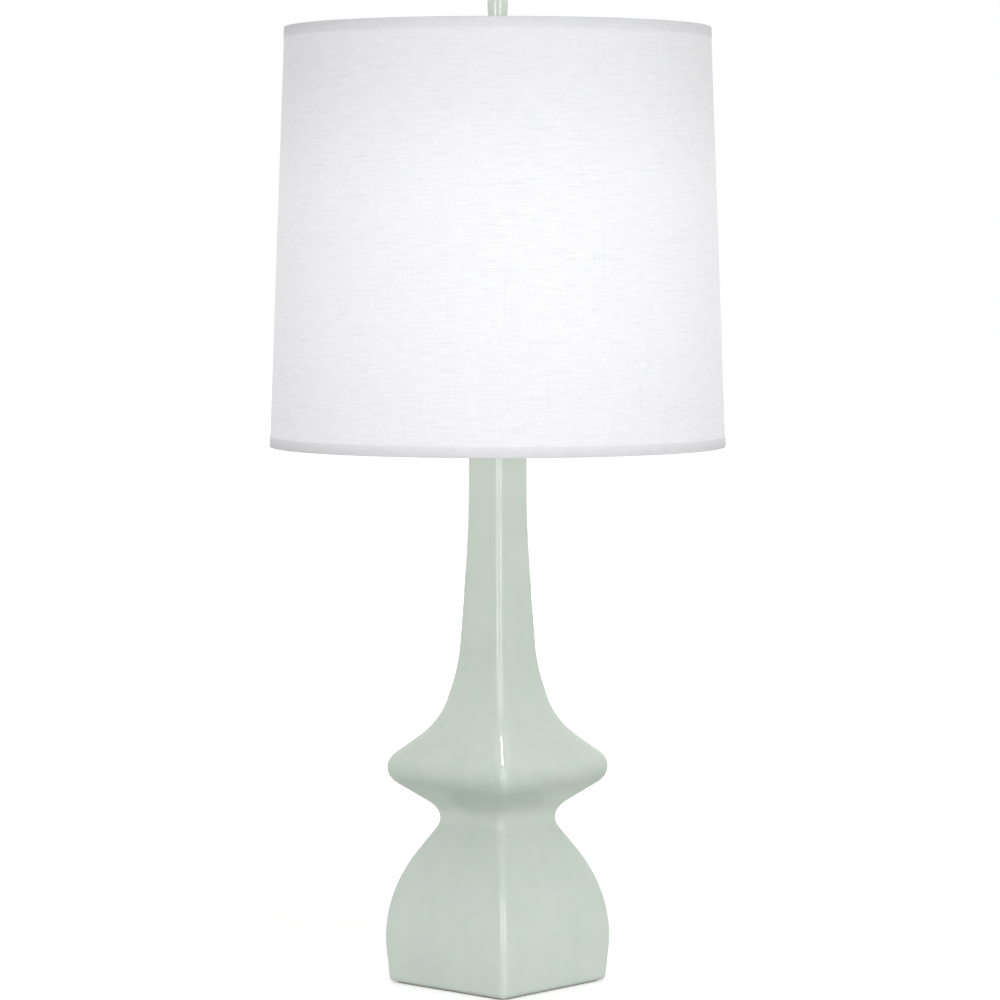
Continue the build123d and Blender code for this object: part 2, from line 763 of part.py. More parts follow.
def shade_trim(edge, up, outer_leg, ring_radius, ring_height):
    """A band folded over one edge of the shade, round the wire ring and back onto the liner."""
    outer_end = edge - up * outer_leg
    inner_end = edge - up * trim_inner_leg
    fold = edge + up * fitted_gap
    fold_back = ring_height - up * ring_wire_radius
    ring_side = ring_radius - ring_wire_radius - fitted_gap
    liner_side = shade_radius(inner_end) - liner_inset - liner_thickness - fitted_gap
    with BuildPart() as trim:
        with BuildSketch(Plane.XZ):
            with BuildLine():
                Polyline(
                    (shade_radius(outer_end) + fitted_gap, outer_end),
                    (shade_radius(edge) + fitted_gap, fold),
                    (ring_side, fold),
                    (ring_side, fold_back),
                    (liner_side, inner_end),
                    (liner_side - trim_thickness, inner_end),
                    (ring_side - trim_thickness, fold_back),
                    (ring_side - trim_thickness, fold + up * trim_thickness),
                    (shade_radius(edge) + fitted_gap + trim_thickness, fold + up * trim_thickness),
                    (shade_radius(outer_end) + fitted_gap + trim_thickness, outer_end),
                    close=True,
                )
            make_face()
        revolve(axis=Axis.Z)
    return trim.part


export(
    shade_trim(shade_bottom_height, -1, bottom_trim_height, bottom_ring_radius, bottom_ring_height),
    "shade_bottom_trim",
)

# The top band is slit from its inner edge up to the ring, where the spokes come up
with BuildPart() as shade_top_trim:
    add(shade_trim(shade_top_height, 1, top_trim_height, top_ring_radius, top_ring_height))
    slit_bottom = shade_top_height - trim_inner_leg - fitted_gap
    slit_inner = top_ring_radius - ring_wire_radius - 2 * (fitted_gap + trim_thickness)
    slit_outer = shade_radius(slit_bottom) - liner_inset - liner_thickness
    with BuildSketch(Plane.XY.offset(slit_bottom)):
        with PolarLocations((slit_inner + slit_outer) / 2, spoke_count, spoke_first_angle):
            Rectangle(slit_outer - slit_inner, 2 * (spoke_radius + spoke_slit_gap))
    extrude(amount=top_ring_height - ring_wire_radius - slit_bottom, mode=Mode.SUBTRACT)
export(shade_top_trim.part, "shade_top_trim")

# Spider: a drilled hub on the harp's stud, and spokes that turn up to the top ring
hub_middle = (hub_top + hub_bottom) / 2

with BuildPart() as spider_hub:
    with BuildSketch(Plane.XY.offset(hub_bottom)):
        Circle(hub_radius)
        Circle(stud_radius + turning_gap, mode=Mode.SUBTRACT)
    extrude(amount=hub_thickness)
    for spoke in range(spoke_count):
        angle = radians(spoke_first_angle + spoke * 360 / spoke_count)
        outward = Vector(cos(angle), sin(angle), 0)
        with BuildSketch(Plane(outward * (hub_radius - spoke_seat) + Vector(0, 0, hub_middle), z_dir=outward)):
            Circle(spoke_radius + fitted_gap)
        extrude(amount=2 * spoke_seat, mode=Mode.SUBTRACT)
export(spider_hub.part, "spider_hub")

with BuildPart() as spider_spokes:
    for spoke in range(spoke_count):
        angle = radians(spoke_first_angle + spoke * 360 / spoke_count)
        outward = Vector(cos(angle), sin(angle), 0)
        across = Vector(sin(angle), -cos(angle), 0)
        with BuildLine(Plane((0, 0, 0), x_dir=outward, z_dir=across)) as spoke_path:
            FilletPolyline(
                (hub_radius - spoke_seat + fitted_gap, hub_middle),
                (top_ring_radius, hub_middle),
                (top_ring_radius, top_ring_height - ring_wire_radius),
                radius=spoke_bend_radius,
            )
        with BuildSketch(Plane(spoke_path.line @ 0, z_dir=outward)):
            Circle(spoke_radius)
        sweep(path=spoke_path.line)
export(spider_spokes.part, "spider_spokes")

# Finial: a tapered knob with a threaded brass insert, screwed down onto the spider's hub
insert_seat = finial_bottom + insert_height + insert_end_gap

with BuildPart() as finial:
    with BuildSketch(Plane.XZ):
        with BuildLine():
            ThreePointArc(
                (finial_bottom_radius, finial_bottom),
                (finial_side_radius, lamp_height - finial_side_drop),
                (finial_top_radius, lamp_height),
            )
            Polyline(
                (finial_top_radius, lamp_height),
                (0, lamp_height),
                (0, insert_seat),
                (insert_radius + fitted_gap, insert_seat),
                (insert_radius + fitted_gap, finial_bottom),
                (finial_bottom_radius, finial_bottom),
            )
        make_face()
    revolve(axis=Axis.Z)
    fillet(finial.edges().group_by(Axis.Z)[-1], radius=finial_edge_radius)
export(finial.part, "finial")

with BuildPart() as finial_insert:
    with BuildSketch(Plane.XY.offset(finial_bottom)):
        Circle(insert_radius)
        Circle(stud_radius + turning_gap, mode=Mode.SUBTRACT)
    extrude(amount=insert_height)
export(finial_insert.part, "finial_insert")
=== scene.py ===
from math import cos, hypot, pi, radians, sin

import bpy
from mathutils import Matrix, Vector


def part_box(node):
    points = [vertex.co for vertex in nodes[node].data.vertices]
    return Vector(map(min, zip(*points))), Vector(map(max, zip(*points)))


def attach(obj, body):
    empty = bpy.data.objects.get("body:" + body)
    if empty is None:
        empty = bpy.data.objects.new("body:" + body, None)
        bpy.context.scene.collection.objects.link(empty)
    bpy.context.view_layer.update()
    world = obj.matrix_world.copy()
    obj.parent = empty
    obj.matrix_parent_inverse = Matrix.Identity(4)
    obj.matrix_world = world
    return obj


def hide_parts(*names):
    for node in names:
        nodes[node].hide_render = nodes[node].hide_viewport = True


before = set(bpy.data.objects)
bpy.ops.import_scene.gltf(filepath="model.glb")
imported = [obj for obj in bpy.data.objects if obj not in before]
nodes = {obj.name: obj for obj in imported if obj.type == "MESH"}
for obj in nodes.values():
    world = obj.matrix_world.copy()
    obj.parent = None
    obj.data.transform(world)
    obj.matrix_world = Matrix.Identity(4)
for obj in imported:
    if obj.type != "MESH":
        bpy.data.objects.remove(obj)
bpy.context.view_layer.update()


# Ceramic body: slip-cast stoneware, square in section, with a swelling foot, a waist, a flange and a neck.
# Its glossy celadon glaze breaks paler over the corners and pools under the flange. Painted into its colour
# too are a highlight low on the corners, a reflection of the lit shade over the flange, light on the foot's
# swell and on the neck up to its mouth, and shade under the flange. The foot's rim is wiped bare before
# firing, so that it doesn't stick to the kiln shelf.


def screen(red, green, blue):
    """A colour given as 0 to 255 screen values, in the linear values that a shader takes."""
    levels = [value / 255 for value in (red, green, blue)]
    return [x / 12.92 if x < 0.04 else ((x + 0.055) / 1.055) ** 2.4 for x in levels] + [1.0]


glaze_cool = screen(195, 207, 198)
glaze_warm = screen(204, 212, 204)
glaze_green = screen(197, 211, 198)
glaze_run = screen(184, 201, 187)
glaze_deep_and_shaded = screen(154, 174, 157)
glaze_pale_and_lit = screen(223, 233, 224)
clay_dark = screen(190, 178, 160)
clay_light = screen(220, 211, 196)

# Patterns in the glaze: sizes and depths in metres, a run's length in widths, and shares of the colour.
drift_size = 0.06
cloud_size, cloud_share = 0.018, 0.6
run_width, run_length, run_share = 0.011, 9, 0.16
grit_size = 0.0012
wave_size, wave_depth = 0.02, 0.0003
peel_size, peel_depth = 0.0022, 0.00001
glaze_rough = 0.09, 0.12
clay_rough = 0.6
pool_rough = 0.28

# Undersides mirror less. A tilt is how far the surface faces up, as facing_up gives it.
under_mirror, full_mirror = 0.15, 0.5
under_tilt = -0.6, -0.1
rim_tilt = -0.8, -0.95

# Heights and reaches in metres, and how much of the pale or the deep glaze shows there. Beyond the glaze's
# own breaks and pools, the pale holds a painted highlight low on the corners, a painted reflection over the
# flange's upper edge and painted light on the swell, neck and mouth, and the deep holds painted shade under
# the flange.
corner_low, corner_high = 0.02, 0.15
corner_pale_and_highlight, corner_faint = 0.28, 0.03
corner_edge, corner_break = 0.001, 0.012
shoulder_height, shoulder_reach, shoulder_painted_halo = 0.190, 0.022, 0.4
swell_low, swell_high, swell_painted_light = 0.05, 0.135, 0.15
neck_low, neck_high, neck_painted_light = 0.25, 0.35, 0.06
mouth_low, mouth_high, mouth_painted_light = 0.36, 0.42, 0.36
pool_height, pool_and_shade_depth = 0.157, 0.37
pool_reach, pool_edge = 0.020, 0.026
pool_wave, pool_waver = 0.02, 0.003
rim_heights = 0.0030, 0.0018


def plug(tree, socket, value):
    """Gives a socket a value, or links it to the socket that feeds it."""
    if isinstance(value, bpy.types.NodeSocket):
        tree.links.new(value, socket)
    else:
        socket.default_value = value


def node(tree, kind, inputs=None, **settings):
    """Adds a node to a tree. Each of its inputs is a value, or the socket that feeds it."""
    made = tree.nodes.new(kind)
    for name, value in settings.items():
        setattr(made, name, value)
    for name, value in (inputs or {}).items():
        plug(tree, made.inputs[name], value)
    return made


def maths(tree, operation, first, second=0.0, third=0.0):
    """The result of one sum on values or sockets."""
    return node(tree, "ShaderNodeMath", {0: first, 1: second, 2: third}, operation=operation).outputs[0]


def ease(tree, value, low, high, to_low=0.0, to_high=1.0):
    """A value brought smoothly from one range into another, and held at the ends of it."""
    ends = {"Value": value, "From Min": low, "From Max": high, "To Min": to_low, "To Max": to_high}
    return node(tree, "ShaderNodeMapRange", ends, interpolation_type="SMOOTHSTEP").outputs[0]


def spread(tree, noise, least=0.0, most=1.0, window=(0.3, 0.7)):
    """Soft noise, which seldom reaches 0 or 1, spread from the window that it fills over a given range."""
    return ease(tree, noise, *window, least, most)


def mixed(tree, share, first, second):
    """A colour between two others."""
    return node(tree, "ShaderNodeMix", {0: share, 6: first, 7: second}, data_type="RGBA").outputs[2]


def split(tree, vector):
    """The three coordinates of a vector."""
    return list(node(tree, "ShaderNodeSeparateXYZ", {"Vector": vector}).outputs)


def cloudy(tree, place, size, stretch=(1, 1, 1), detail=2.0):
    """Soft noise from 0 to 1, with clouds of about a size in metres, each axis drawn out by its stretch."""
    squeeze = [1 / (size * s) for s in stretch]
    spot = node(tree, "ShaderNodeMapping", {"Vector": place, "Scale": squeeze}).outputs[0]
    return node(tree, "ShaderNodeTexNoise", {"Vector": spot, "Scale": 1.0, "Detail": detail}).outputs[0]


def relief(tree, height, depth, below=None):
    """The surface raised by up to a depth in metres where height is 1, on top of a relief below."""
    inputs = {"Height": height, "Distance": depth}
    if below:
        inputs["Normal"] = below
    return node(tree, "ShaderNodeBump", inputs).outputs[0]


def facing_up(tree):
    """How far the surface faces up: 1 on top of the piece, 0 on its sides and -1 underneath."""
    return split(tree, node(tree, "ShaderNodeTexCoord").outputs["Normal"])[2]


def new_finish(name):
    """A new material: itself, its tree, its shader, and the place on the piece that its patterns read."""
    material = bpy.data.materials.new(name)
    material.use_nodes = True
    tree = material.node_tree
    return material, tree, tree.nodes["Principled BSDF"], node(tree, "ShaderNodeTexCoord").outputs["Object"]


def feed(tree, shader, **sockets):
    """Sets or links sockets of a shader, named in small letters with underscores."""
    for name, value in sockets.items():
        plug(tree, shader.inputs[name.replace("_", " ").title().replace("Ior", "IOR")], value)


def dress(finish, *names):
    """Gives CAD nodes a finish in place of their plain colour."""
    for name in names:
        for slot in nodes[name].material_slots:
            slot.material = finish


def celadon(name, paler, pooled, bare):
    """The glaze: paler at edges and painted light, deeper in pools and painted shade, left off the bare
    clay.
    """
    material, tree, shader, place = new_finish(name)
    drift = spread(tree, cloudy(tree, place, drift_size))
    clouds = spread(tree, cloudy(tree, place, cloud_size), 0, cloud_share, window=(0.35, 0.7))
    runs = cloudy(tree, place, run_width, (1, 1, run_length), detail=1)
    runs = spread(tree, runs, 0, run_share, window=(0.45, 0.75))
    pool_and_shade = pooled(tree, place)
    clay = bare(tree, place)
    grit = cloudy(tree, place, grit_size, detail=4)

    tint = mixed(tree, drift, glaze_cool, glaze_warm)
    tint = mixed(tree, clouds, tint, glaze_green)
    tint = mixed(tree, runs, tint, glaze_run)
    # Deeper glaze where it pools, and painted shade under the flange
    tint = mixed(tree, pool_and_shade, tint, glaze_deep_and_shaded)
    # Lighter glaze where it breaks over edges, with painted highlight, reflection and light added
    tint = mixed(tree, paler(tree, place), tint, glaze_pale_and_lit)
    tint = mixed(tree, clay, tint, mixed(tree, grit, clay_dark, clay_light))

    waves = cloudy(tree, place, wave_size)
    peel = cloudy(tree, place, peel_size)
    rough = spread(tree, peel, *glaze_rough, window=(0.3, 0.8))
    rough = maths(tree, "MULTIPLY_ADD", clay, clay_rough, rough)
    rough = maths(tree, "MULTIPLY_ADD", pool_and_shade, pool_rough, rough)
    mirror = ease(tree, facing_up(tree), *under_tilt, under_mirror, full_mirror)
    feed(tree, shader, base_color=tint, roughness=rough, ior=1.5, specular_ior_level=mirror)
    feed(tree, shader, normal=relief(tree, peel, peel_depth, relief(tree, waves, wave_depth)))
    return material


def pale_corners_and_painted_light(tree, place):
    """Most on the corners, low down and on the flange, a little over the foot's swell, and at the mouth."""
    x, y, height = split(tree, place)
    off_shoulder = maths(tree, "ABSOLUTE", maths(tree, "SUBTRACT", height, shoulder_height))
    # Painted reflection of the lit shade's inside: a pale halo over the flange's upper edge
    painted_halo = ease(tree, off_shoulder, 0, shoulder_reach, shoulder_painted_halo, 0)
    # Corners: glaze breaking over them, with a painted highlight strongest low down
    corner_and_halo = ease(tree, height, corner_low, corner_high, corner_pale_and_highlight, corner_faint)
    corner_and_halo = maths(tree, "MAXIMUM", corner_and_halo, painted_halo)
    off_corner = maths(tree, "SUBTRACT", maths(tree, "ABSOLUTE", x), maths(tree, "ABSOLUTE", y))
    corner = ease(tree, maths(tree, "ABSOLUTE", off_corner), corner_edge, corner_break, corner_and_halo, 0)
    # Painted light on the foot's swell
    swell = ease(tree, height, swell_low, swell_high, swell_painted_light, 0)
    # Painted light from the bulb on the neck, most at its mouth under the shade
    neck = ease(tree, height, neck_low, neck_high, 0, neck_painted_light)
    mouth = ease(tree, height, mouth_low, mouth_high, 0, mouth_painted_light)
    sides = maths(tree, "MAXIMUM", swell, maths(tree, "ADD", neck, mouth))
    return maths(tree, "MAXIMUM", corner, sides)


def under_flange(tree, place):
    """Pooled glaze and painted shade, most just under the flange, with an uneven edge, fading to its rim
    and waist.
    """
    waver = spread(tree, cloudy(tree, place, pool_wave), -pool_waver, pool_waver)
    level = maths(tree, "ADD", split(tree, place)[2], waver)
    # Painted shade under the flange, over the glaze that pools there
    above = ease(tree, level, pool_height, pool_height + pool_reach, pool_and_shade_depth, 0)
    return maths(tree, "MULTIPLY", above, ease(tree, level, pool_height - pool_edge, pool_height))


def under_foot(tree, place):
    """1 on the rim that the body stands on."""
    down = ease(tree, facing_up(tree), *rim_tilt)
    return maths(tree, "MULTIPLY", down, ease(tree, split(tree, place)[2], *rim_heights))


dress(celadon("celadon_glaze", pale_corners_and_painted_light, under_flange, under_foot), "ceramic_body")


# Foot hardware: a steel plate closes the hollow body from below, and a washer and a nut on the threaded rod
# pull it up against a ledge. All are zinc-plated and a little dulled. The plate is rolled, the rest turned.
lathe_pitch = 0.0003
mill_pitch, mill_length = 0.0004, 40
line_depth, line_rough = 0.00003, 0.1
tarnish_size, tarnish_rough = 0.008, 0.14
spot_size, spot_share, spot_dark = 0.0011, 0.5, 0.55
zinc_bright = screen(198, 200, 203)
zinc_dull = screen(164, 166, 166)


def combined(tree, x=0.0, y=0.0, z=0.0):
    """A vector of three coordinates."""
    return node(tree, "ShaderNodeCombineXYZ", {0: x, 1: y, 2: z}).outputs[0]


def turned(tree, place):
    """Fine rings round the upright axis, as a lathe leaves them."""
    x, y, height = split(tree, place)
    out = maths(tree, "SQRT", maths(tree, "ADD", maths(tree, "POWER", x, 2), maths(tree, "POWER", y, 2)))
    return cloudy(tree, combined(tree, out, height), lathe_pitch)


def rolled(tree, place):
    """Fine lines along X, as sheet metal has from the mill."""
    return cloudy(tree, place, mill_pitch, (mill_length, 1, 1))


def drawn(tree, place):
    """Fine lines up and down, as wire has from the die."""
    return cloudy(tree, place, mill_pitch, (1, 1, mill_length))


def worked_metal(name, lines, bright, dull, rough):
    """Bare or plated metal, with fine tool lines, and duller clouds where air and hands have been at it."""
    material, tree, shader, place = new_finish(name)
    marks = lines(tree, place)
    tarnish = spread(tree, cloudy(tree, place, tarnish_size, detail=4), window=(0.38, 0.68))
    spots = spread(tree, cloudy(tree, place, spot_size, detail=3), 0, spot_share, window=(0.62, 0.74))
    spots = maths(tree, "MULTIPLY", spots, tarnish)
    spotted = [spot_dark * x for x in dull[:3]] + [1]
    tone = mixed(tree, spots, mixed(tree, tarnish, bright, dull), spotted)
    haze = ease(tree, tarnish, 0, 1, rough, rough + tarnish_rough)
    haze = maths(tree, "ADD", haze, spread(tree, marks, 0, line_rough))
    feed(tree, shader, base_color=tone, metallic=1.0, roughness=haze)
    feed(tree, shader, normal=relief(tree, marks, line_depth))
    return material


dress(worked_metal("zinc_rolled", rolled, zinc_bright, zinc_dull, rough=0.28), "base_plate")
zinc_turned = worked_metal("zinc_turned", turned, zinc_bright, zinc_dull, rough=0.22)
dress(zinc_turned, "base_washer", "base_nut", "lamp_rod", "knob_shaft")


# Lead bushing: a moulded nylon grommet that snaps into the hole at the back of the foot.
# Off-white, satin, with the faint flow clouds and the spark-eroded grain of its mould.
nylon_pale = screen(226, 226, 218)
nylon_deep = screen(210, 211, 203)
nylon_rough = 0.38, 0.55
flow_size, flow_length = 0.003, 3
mould_grain, mould_depth = 0.0003, 0.00006

nylon, tree, shader, place = new_finish("moulded_nylon")
flow = spread(tree, cloudy(tree, place, flow_size, (1, flow_length, 1)))
grain = cloudy(tree, place, mould_grain, detail=3)
feed(tree, shader, base_color=mixed(tree, flow, nylon_pale, nylon_deep))
feed(tree, shader, roughness=spread(tree, grain, *nylon_rough), normal=relief(tree, grain, mould_depth))
feed(tree, shader, subsurface_weight=0.1, subsurface_scale=0.002)
dress(nylon, "cord_bushing")


# Felt pad: a square of pressed wool felt, die-cut and glued under the foot, where it closes the pocket.
# Grey-green wool, matted, with a soft cut edge and paler fibres in its face.
felt_low, felt_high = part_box("felt_pad")
felt_half = felt_high[0]
felt_corner, corner_steps = 0.006, 14
felt_edge, edge_steps = 0.0003, 4
felt_fray = 0.0016
fray_fast, fray_slow = 7.3, 3.1
wool_dark = screen(112, 119, 112)
wool_light = screen(134, 141, 133)
wool_fibre = screen(158, 164, 155)
matting_size, matting_depth = 0.004, 0.001
fibre_size, fibre_depth = 0.0004, 0.0006
fibre_length, fibre_height = 14, 3


def rounded_square(half, corner, steps):
    """Points round a square with round corners, anticlockwise."""
    points = []
    for quarter in range(4):
        turn = quarter * pi / 2
        for step in range(steps + 1):
            a = step / steps * pi / 2
            x, y = half - corner + corner * cos(a), half - corner + corner * sin(a)
            points.append((x * cos(turn) - y * sin(turn), x * sin(turn) + y * cos(turn)))
    return points


def add_piece(name, mesh, finish, body):
    """Puts a finished mesh into the scene as a piece that rides on a body."""
    piece = bpy.data.objects.new(name, mesh)
    bpy.context.scene.collection.objects.link(piece)
    mesh.materials.clear()
    mesh.materials.append(finish)
    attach(piece, body)
    return piece


felt_rings = []
for step in range(edge_steps + 1):
    a = step / edge_steps * pi / 2
    felt_rings.append((felt_edge * (1 - sin(a)), felt_low[2] + felt_edge - felt_edge * cos(a)))
felt_rings += [(inset, felt_high[2] - (level - felt_low[2])) for inset, level in reversed(felt_rings)]
verts, faces = [], []
for inset, level in felt_rings:
    ring = rounded_square(felt_half - inset, felt_corner - inset, corner_steps)
    around = len(ring)
    for step, (x, y) in enumerate(ring):
        fray = 1 - felt_fray * abs(sin(fray_fast * step) * sin(fray_slow * step + 1))
        verts.append((x * fray, y * fray, level))
for ring in range(len(felt_rings) - 1):
    for step in range(around):
        a, b = ring * around + step, ring * around + (step + 1) % around
        faces.append((a, b, b + around, a + around))
faces.append(tuple(reversed(range(around))))
faces.append(tuple(range(len(verts) - around, len(verts))))
felt_mesh = bpy.data.meshes.new("felt_under")
felt_mesh.from_pydata(verts, [], faces)

wool, tree, shader, place = new_finish("pressed_felt")
matting = cloudy(tree, place, matting_size, detail=4)
fibres_x = cloudy(tree, place, fibre_size, (fibre_length, 1, fibre_height))
fibres_y = cloudy(tree, place, fibre_size, (1, fibre_length, fibre_height))
fibres = maths(tree, "MAXIMUM", fibres_x, fibres_y)
tone = mixed(tree, matting, wool_dark, wool_light)
tone = mixed(tree, spread(tree, fibres, window=(0.58, 0.72)), tone, wool_fibre)
feed(tree, shader, base_color=tone, roughness=0.95, sheen_weight=0.4, sheen_roughness=0.6)
feed(tree, shader, normal=relief(tree, fibres, fibre_depth, relief(tree, matting, matting_depth)))
felt_piece = add_piece("felt_under", felt_mesh, wool, "base")
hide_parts("felt_pad")


# Neck fittings: a spun brass cap covers the mouth of the neck, and a hexagon nut on the rod clamps it.
# The harp's saddle, a pressed brass strip with turned-up ears, sits on that nut under the socket.
brass_bright = screen(214, 184, 120)
brass_dull = screen(194, 162, 102)
brass_turned = worked_metal("brass_turned", turned, brass_bright, brass_dull, rough=0.22)
brass_rolled = worked_metal("brass_rolled", rolled, brass_bright, brass_dull, rough=0.26)
dress(brass_turned, "neck_cap", "lock_nut")
dress(brass_rolled, "harp_saddle")


# Socket: a spun brass cap and shell, held together by a snap bead, with a fibre card sleeve inside them.
# They house a moulded phenolic core with its terminal screws, the threaded shell and the centre contact.
# The switch's knob is of the same black phenolic.
card_dark = screen(150, 130, 102)
card_light = screen(176, 156, 126)
card_stain = screen(128, 108, 84)
pulp_size, pulp_length, pulp_depth = 0.0006, 5, 0.0001
stain_size, stain_share = 0.006, 0.5
phenolic_dark = screen(30, 27, 25)
phenolic_light = screen(44, 38, 34)
phenolic_scuff = screen(74, 68, 63)
phenolic_rough = 0.24, 0.48
swirl_size, swirl_length = 0.004, 2.5
scuff_size, scuff_length = 0.0005, 9
scuff_share, scuff_depth = 0.5, 0.00003

dress(brass_turned, "socket_cap", "socket_shell", "socket_set_screw")
dress(brass_turned, "terminal_screws", "screw_shell", "centre_contact")

card, tree, shader, place = new_finish("fibre_card")
pulp = cloudy(tree, place, pulp_size, (1, 1, pulp_length), detail=4)
stain = spread(tree, cloudy(tree, place, stain_size), 0, stain_share, window=(0.5, 0.8))
tone = mixed(tree, spread(tree, pulp), card_dark, card_light)
feed(tree, shader, base_color=mixed(tree, stain, tone, card_stain))
feed(tree, shader, roughness=0.85, normal=relief(tree, pulp, pulp_depth))
dress(card, "socket_insulator")

phenolic, tree, shader, place = new_finish("black_phenolic")
swirl = cloudy(tree, place, swirl_size, (1, 1, swirl_length), detail=3)
scuff = cloudy(tree, place, scuff_size, (scuff_length, 1, 1))
scuffed = spread(tree, scuff, 0, scuff_share, window=(0.68, 0.8))
tone = mixed(tree, spread(tree, swirl, window=(0.35, 0.7)), phenolic_dark, phenolic_light)
feed(tree, shader, base_color=mixed(tree, scuffed, tone, phenolic_scuff))
feed(tree, shader, roughness=spread(tree, scuff, *phenolic_rough, window=(0.4, 0.8)))
feed(tree, shader, normal=relief(tree, scuff, scuff_depth))
dress(phenolic, "socket_core", "bulb_insulator", "turn_knob")


# Harp: a loop of drawn brass wire that springs into the saddle's ears, where a sliding sleeve on each leg
# holds it. A threaded stud at its top carries the shade. The sleeves and the stud are turned.
brass_drawn = worked_metal("brass_drawn", drawn, brass_bright, brass_dull, rough=0.24)
dress(brass_drawn, "harp")
dress(brass_turned, "harp_sleeve_left", "harp_sleeve_right", "harp_stud")


# Bulb: a blown glass pear, frosted white inside, lit, on a rolled aluminium screw base.
# The glass is brightest round the middle of the pear and dimmer down its neck.
bulb_low, bulb_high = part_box("bulb_glass")
bulb_white = screen(255, 249, 240)
bulb_glow, bulb_neck_share = 0.3, 0.35
frost_dim = screen(240, 238, 232)
frost_bright = screen(250, 249, 246)
frost_grain = 0.0008
frost_rough = 0.22, 0.34
frost_through = 0.94, 1.04
aluminium_bright = screen(206, 207, 208)
aluminium_dull = screen(176, 176, 175)

frost, tree, shader, place = new_finish("frosted_bulb")
bloom = ease(tree, split(tree, place)[2], bulb_low[2], (bulb_low[2] + bulb_high[2]) / 2, bulb_neck_share, 1)
grain = cloudy(tree, place, frost_grain, detail=3)
bloom = maths(tree, "MULTIPLY", bloom, spread(tree, grain, *frost_through))
feed(tree, shader, base_color=mixed(tree, grain, frost_dim, frost_bright))
feed(tree, shader, roughness=spread(tree, grain, *frost_rough))
feed(tree, shader, emission_color=bulb_white, emission_strength=maths(tree, "MULTIPLY", bloom, bulb_glow))
dress(frost, "bulb_glass")
aluminium = worked_metal("bulb_aluminium", turned, aluminium_bright, aluminium_dull, rough=0.26)
dress(aluminium, "bulb_base", "bulb_contact")


# Shade frame: two rings of steel wire, a spider of three bent spokes welded to the upper one, and a punched
# hub. White powder coat over all of it, with a fine orange peel and a little dirt in it.
powder_clean = screen(238, 238, 235)
powder_dirty = screen(228, 227, 222)
powder_rough = 0.3, 0.46
powder_peel, powder_depth = 0.0009, 0.00008
dirt_size = 0.012

powder, tree, shader, place = new_finish("powder_coat")
peel = cloudy(tree, place, powder_peel)
dirt = spread(tree, cloudy(tree, place, dirt_size, detail=4), window=(0.4, 0.8))
feed(tree, shader, base_color=mixed(tree, dirt, powder_clean, powder_dirty))
feed(tree, shader, roughness=spread(tree, peel, *powder_rough), normal=relief(tree, peel, powder_depth))
dress(powder, "shade_top_ring", "shade_bottom_ring", "spider_spokes", "spider_hub")


# Shade lining: a sheet of translucent white styrene, bent round, which the cloth is glued to.
# It is satin, with calender lines round it, and the bulb's light in it is painted on as a glow, most of all
# beside the bulb.
styrene_dim = screen(240, 239, 234)
styrene_bright = screen(246, 245, 242)
styrene_lit = screen(255, 252, 246)
styrene_rough = 0.42, 0.58
calender_size, calender_height, calender_depth = 0.0016, 0.25, 0.00004
sheet_wave, sheet_wave_height = 0.05, 2
bulb_middle = (bulb_low[2] + 2 * bulb_high[2]) / 3
lining_near, lining_far = 0.02, 0.2
lining_glow, lining_dim = 0.14, 0.05

styrene, tree, shader, place = new_finish("styrene_lining")
calender = cloudy(tree, place, calender_size, (1, 1, calender_height))
waves = spread(tree, cloudy(tree, place, sheet_wave, (1, 1, sheet_wave_height)))
off_bulb = maths(tree, "ABSOLUTE", maths(tree, "SUBTRACT", split(tree, place)[2], bulb_middle))
# Painted glow: the bulb's light in the lining, as emission by height
glow = ease(tree, off_bulb, lining_near, lining_far, lining_glow, lining_dim)
feed(tree, shader, base_color=mixed(tree, waves, styrene_dim, styrene_bright))
feed(tree, shader, roughness=spread(tree, calender, *styrene_rough))
feed(tree, shader, emission_color=styrene_lit, emission_strength=glow)
feed(tree, shader, normal=relief(tree, calender, calender_depth))
dress(styrene, "shade_liner")


# Shade cloth: a panel of slubby white linen-look cloth, cut as a piece of a cone, so that its weft bows,
# and glued round the lining with a lap at the back left. Plain weave of uneven yarn: long slubs lie along
# the weft, fewer up the warp, and the lit bulb's light through it is painted on as a glow.
drum_low, drum_high = (corner[2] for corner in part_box("shade_fabric"))
cloth_thickness = 0.0006
cloth_lap = 0.009
cloth_pitch = 0.00066
cloth_columns, cloth_rows = 300, 22
seam_angle = radians(166)
lap_edge = 0.0004
lap_lift_in_thicknesses = 1.08
slub_density, slub_length, slub_width = 4200.0, 0.046, 0.0009
slub_seed = 11
slub_lean = 0.012
linen_pale = screen(206, 206, 207)
linen_deep = screen(201, 201, 203)
lit_white = screen(253, 253, 255)

# Shares: a slub's least width and length, its height in widths, and how many slubs stand upright.
slub_thinnest, slub_shortest = 0.5, 0.3
slub_flatness = 0.35
slubs_upright = 0.16

# Uneven places in the yarn: their width in threads, their length in widths, and their share of the weave.
weft_width, weft_length, weft_share = 2.3, 11, 0.5
warp_width, warp_length, warp_share = 2.1, 12, 0.2
nub_width, nub_length, nub_share = 2.4, 1.4, 0.3
knot_depth, yarn_depth = 0.0001, 0.0004

# The bulb's light in the cloth, painted as a glow: full between two heights, dimmer at the edges, through
# slubs and the lap.
full_low, full_high = 0.54, 0.60
low_glow, full_glow, top_share = 0.29, 0.335, 0.62
thin_through, thick_through = 1.045, 0.955
slub_stops = 0.14
lap_through = 0.72


def radius_at(name, height, pick=max, reach=0.0004):
    """The outer radius of a round CAD node at one of its edges, or with min, the inner one."""
    return pick(hypot(v.co.x, v.co.y) for v in nodes[name].data.vertices if abs(v.co.z - height) < reach)


